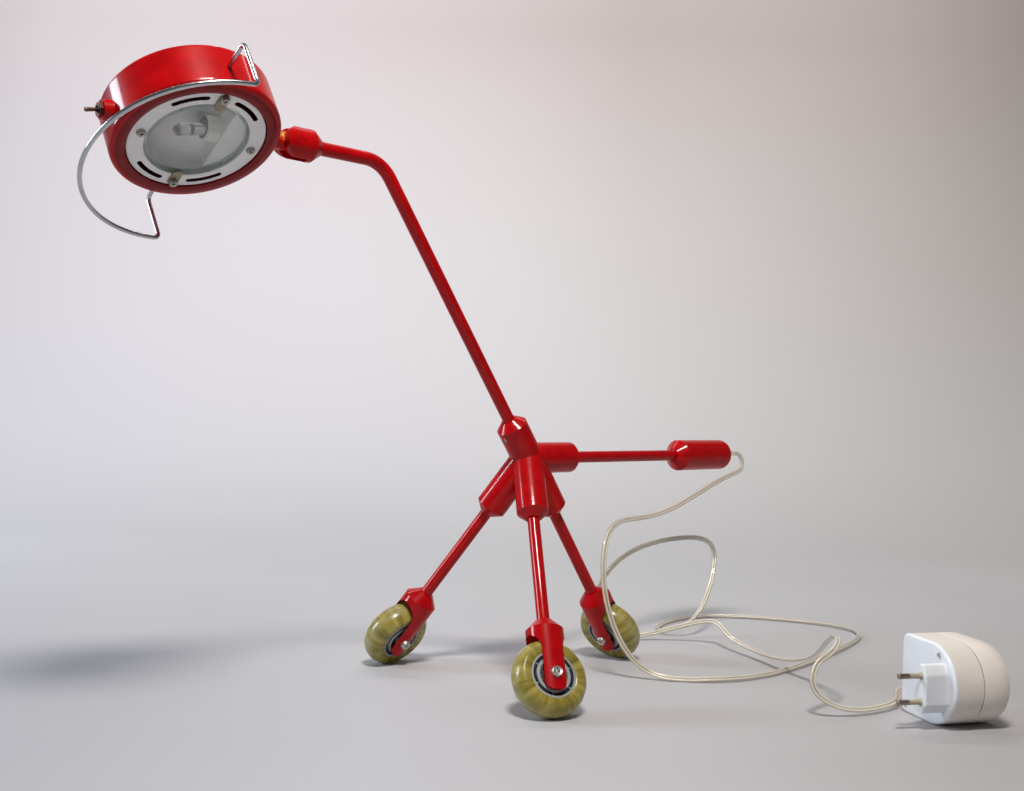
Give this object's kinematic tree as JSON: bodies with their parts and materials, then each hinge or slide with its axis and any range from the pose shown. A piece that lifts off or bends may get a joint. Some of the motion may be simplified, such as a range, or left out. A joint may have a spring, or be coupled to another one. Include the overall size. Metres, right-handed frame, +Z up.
{
  "type": "table lamp",
  "caption": "Dog-shaped table lamp: slanted legs on swivelling castors, a tail that takes the cord, and a round halogen head with a wire handle on a bent neck.",
  "frame": {"origin": "on the floor, straight under the centre of the hub where the legs, the neck and the tail meet", "axes": "+X along the tail, away from the head; +Z up; left and right in names are as seen from in front of the head"},
  "size_m": [0.802, 0.4409, 0.442],
  "materials": {
    "red_paint": "gloss",
    "plate_paint": "satin",
    "screw_steel": "satin",
    "clip_nickel": "polished",
    "handle_chrome": "polished",
    "sheet_aluminium": "satin",
    "clear_glass": "clear",
    "bulb_glass": "clear",
    "holder_body": "matte",
    "switch_plastic": "matte",
    "tyre_urethane": "gloss",
    "core_plastic": "satin",
    "ring_plastic": "satin",
    "bearing_steel": "satin",
    "cord_vinyl": "gloss",
    "case_white": "satin",
    "case_beige": "satin",
    "pin_brass": "satin",
    "sleeve_plastic": "satin",
    "core_iron": "matte",
    "coil_copper": "satin"
  },
  "bodies": {
    "stand": {"hub": "red_paint", "grub_screws": "screw_steel", "leg_rod_left": "red_paint", "leg_rod_right": "red_paint", "leg_rod_hind": "red_paint", "swivel_screws": "screw_steel", "neck_tube": "red_paint", "tail_tube": "red_paint", "tail_end": "red_paint", "inner_flex": "cord_vinyl", "knuckle": "red_paint", "tilt_pin": "red_paint", "cord": "cord_vinyl", "cord_relief": "cord_vinyl", "case_front": "case_white", "case_back": "case_beige", "case_screws": "screw_steel", "plug_pins": "pin_brass", "pin_sleeves": "sleeve_plastic", "transformer_core": "core_iron", "transformer_coil": "coil_copper"},
    "caster_left": {"fork_left": "red_paint", "axle_sleeve_left": "screw_steel", "axle_screws_left": "screw_steel"},
    "wheel_left": {"tyre_left": "tyre_urethane", "wheel_core_left": "core_plastic", "core_rings_left": "ring_plastic", "bearings_left": "bearing_steel"},
    "caster_right": {"fork_right": "red_paint", "axle_sleeve_right": "screw_steel", "axle_screws_right": "screw_steel"},
    "wheel_right": {"tyre_right": "tyre_urethane", "wheel_core_right": "core_plastic", "core_rings_right": "ring_plastic", "bearings_right": "bearing_steel"},
    "caster_hind": {"fork_hind": "red_paint", "axle_sleeve_hind": "screw_steel", "axle_screws_hind": "screw_steel"},
    "wheel_hind": {"tyre_hind": "tyre_urethane", "wheel_core_hind": "core_plastic", "core_rings_hind": "ring_plastic", "bearings_hind": "bearing_steel"},
    "stem": {"head_stem": "red_paint", "stem_nut": "screw_steel"},
    "head": {"drum": "red_paint", "face_plate": "plate_paint", "plate_screws": "screw_steel", "reflector": "sheet_aluminium", "bulb_wall": "sheet_aluminium", "lamp_holder": "holder_body", "bulb": "bulb_glass", "front_glass": "clear_glass", "glass_clips": "clip_nickel", "clip_screws": "screw_steel", "switch_body": "switch_plastic", "switch_nut": "screw_steel"},
    "handle": {"handle_bail": "handle_chrome"},
    "lever": {"switch_lever": "screw_steel"}
  },
  "joints": [
    {"name": "caster_swivel_left", "type": "hinge", "parent": "stand", "child": "caster_left", "pos_m": [-0.06016, 0.09263, 0.02658], "axis": [-0.3155, 0.4858, -0.8151], "continuous": true},
    {"name": "wheel_spin_left", "type": "hinge", "parent": "caster_left", "child": "wheel_left", "pos_m": [-0.06016, 0.09263, 0.02658], "axis": [0.0645, -0.846, -0.5292], "continuous": true},
    {"name": "caster_swivel_right", "type": "hinge", "parent": "stand", "child": "caster_right", "pos_m": [-0.06031, -0.09287, 0.02618], "axis": [-0.3155, -0.4858, -0.8151], "continuous": true},
    {"name": "wheel_spin_right", "type": "hinge", "parent": "caster_right", "child": "wheel_right", "pos_m": [-0.06031, -0.09287, 0.02618], "axis": [0.2599, 0.7819, -0.5666], "continuous": true},
    {"name": "caster_swivel_hind", "type": "hinge", "parent": "stand", "child": "caster_hind", "pos_m": [0.11082, 0, 0.02606], "axis": [0.5793, 0, -0.8151], "continuous": true},
    {"name": "wheel_spin_hind", "type": "hinge", "parent": "caster_hind", "child": "wheel_hind", "pos_m": [0.11082, 0, 0.02606], "axis": [-0.8131, -0.0698, -0.5779], "continuous": true},
    {"name": "head_tilt", "type": "hinge", "parent": "stand", "child": "stem", "pos_m": [-0.234, 0, 0.402], "axis": [0, 1, 0], "range_deg": [-43.2, 46.8]},
    {"name": "head_roll", "type": "hinge", "parent": "stem", "child": "head", "pos_m": [-0.30956, 0, 0.39963], "axis": [0.9995, 0, 0.0314], "range_deg": [-58.4, 121.6]},
    {"name": "handle_swing", "type": "hinge", "parent": "head", "child": "handle", "pos_m": [-0.30956, 0, 0.39963], "axis": [0.0165, 0.8517, -0.5237], "range_deg": [-60, 110]},
    {"name": "switch_toggle", "type": "hinge", "parent": "head", "child": "lever", "pos_m": [-0.36953, 0, 0.39774], "axis": [0.0165, 0.8517, -0.5237], "range_deg": [0, 22]}
  ]
}
